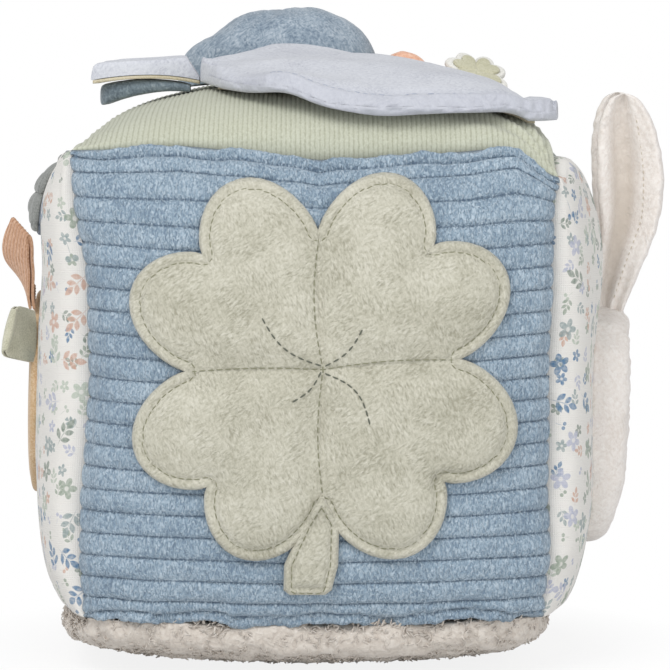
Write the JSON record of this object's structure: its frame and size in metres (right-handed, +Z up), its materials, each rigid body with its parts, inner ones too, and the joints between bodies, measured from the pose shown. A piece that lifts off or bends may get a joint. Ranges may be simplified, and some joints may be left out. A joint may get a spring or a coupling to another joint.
{
  "type": "activity cube",
  "caption": "soft stuffed activity cube with a ribbed cord front, a quilted clover, a plush bird on top, rabbit ears, ribbon tags and a rattle inside",
  "frame": {"origin": "centre of the flat patch of the bottom panel that the cube stands on", "axes": "+Z up, -Y out of the corded front panel, +X out of the right panel with the rabbit"},
  "size_m": [0.2127, 0.1875, 0.2064],
  "materials": {
    "dusty_blue_cord": "wide-wale plush cord, dusty blue",
    "sage_cord": "fine corduroy, pale sage",
    "printed_cotton": "off-white woven cotton with a small leafy print",
    "cream_fleece": "curly cream teddy fleece",
    "sage_velour": "short-pile velour, grey sage",
    "lilac_velour": "short-pile velour, pale lilac",
    "blue_velour": "short-pile velour, grey blue",
    "beige_cotton": "plain woven cotton, beige",
    "peach_velour": "short-pile velour, peach",
    "cream_velour": "short-pile velour, cream",
    "white_felt": "pressed felt, off-white",
    "green_felt": "pressed felt, pale green",
    "grey_felt": "pressed felt, warm grey",
    "peach_ribbon": "ribbed woven ribbon, peach",
    "sage_velvet": "velvet ribbon, sage",
    "tan_felt": "pressed felt, tan",
    "polyester_fibre": "white polyester fibre stuffing",
    "clear_plastic": "moulded, milky clear",
    "bead_plastic": "moulded, terracotta"
  },
  "bodies": {
    "cube": {"front_panel": "dusty_blue_cord", "back_panel": "dusty_blue_cord", "left_panel": "printed_cotton", "right_panel": "printed_cotton", "top_panel": "sage_cord", "bottom_panel": "cream_fleece", "lower_stuffing": "polyester_fibre", "upper_stuffing": "polyester_fibre", "rattle_lower_shell": "clear_plastic", "rattle_upper_shell": "clear_plastic", "rattle_bead_1": "bead_plastic", "rattle_bead_2": "bead_plastic", "rattle_bead_3": "bead_plastic", "clover_backing": "sage_velour", "clover_face": "sage_velour", "clover_stem": "sage_velour", "bird_body": "blue_velour", "bird_beak": "peach_velour", "tag_ribbon": "peach_ribbon", "rabbit_head": "cream_velour", "side_disc": "tan_felt", "flower_back": "white_felt", "flower_petals": "grey_felt"},
    "wing": {"bird_wing": "lilac_velour", "wing_lining": "beige_cotton"},
    "tail": {"tail_feather": "lilac_velour", "tail_lining": "beige_cotton", "tail_lobe": "blue_velour"},
    "tag": {"tag_back": "white_felt", "tag_face": "green_felt"},
    "front_ear_body": {"front_ear": "cream_velour", "front_ear_lining": "cream_velour"},
    "back_ear_body": {"back_ear": "cream_velour", "back_ear_lining": "cream_velour"},
    "peach_fold": {"peach_ribbon": "peach_ribbon"},
    "sage_fold": {"sage_ribbon": "sage_velvet"}
  },
  "joints": [
    {"name": "wing_lift", "type": "hinge", "parent": "cube", "child": "wing", "pos_m": [0.02, -0.0074, 0.1923], "axis": [-1, 0, 0], "range_deg": [0, 70]},
    {"name": "tail_lift", "type": "hinge", "parent": "cube", "child": "tail", "pos_m": [-0.0369, -0.02, 0.1868], "axis": [0, 1, 0], "range_deg": [0, 30]},
    {"name": "tag_swing", "type": "hinge", "parent": "cube", "child": "tag", "pos_m": [0.0429, 0.0109, 0.1908], "axis": [0, -0.788, -0.6157], "range_deg": [0, 60]},
    {"name": "front_ear_fold", "type": "hinge", "parent": "cube", "child": "front_ear_body", "pos_m": [0.1009, -0.0124, 0.1028], "axis": [0, 1, 0], "range_deg": [0, 85], "stiffness_Nm_per_rad": 0.01},
    {"name": "back_ear_fold", "type": "hinge", "parent": "cube", "child": "back_ear_body", "pos_m": [0.1009, 0.0136, 0.1026], "axis": [0, 1, 0], "range_deg": [0, 85], "stiffness_Nm_per_rad": 0.01},
    {"name": "peach_ribbon_bend", "type": "hinge", "parent": "cube", "child": "peach_fold", "pos_m": [-0.0929, -0.0094, 0.1137], "axis": [0.2148, -0.8852, -0.4126], "range_deg": [0, 45], "stiffness_Nm_per_rad": 0.0005},
    {"name": "sage_ribbon_bend", "type": "hinge", "parent": "cube", "child": "sage_fold", "pos_m": [-0.09195, -0.02594, 0.09677], "axis": [0, -0.4068, -0.9135], "range_deg": [0, 45], "stiffness_Nm_per_rad": 0.0005}
  ]
}
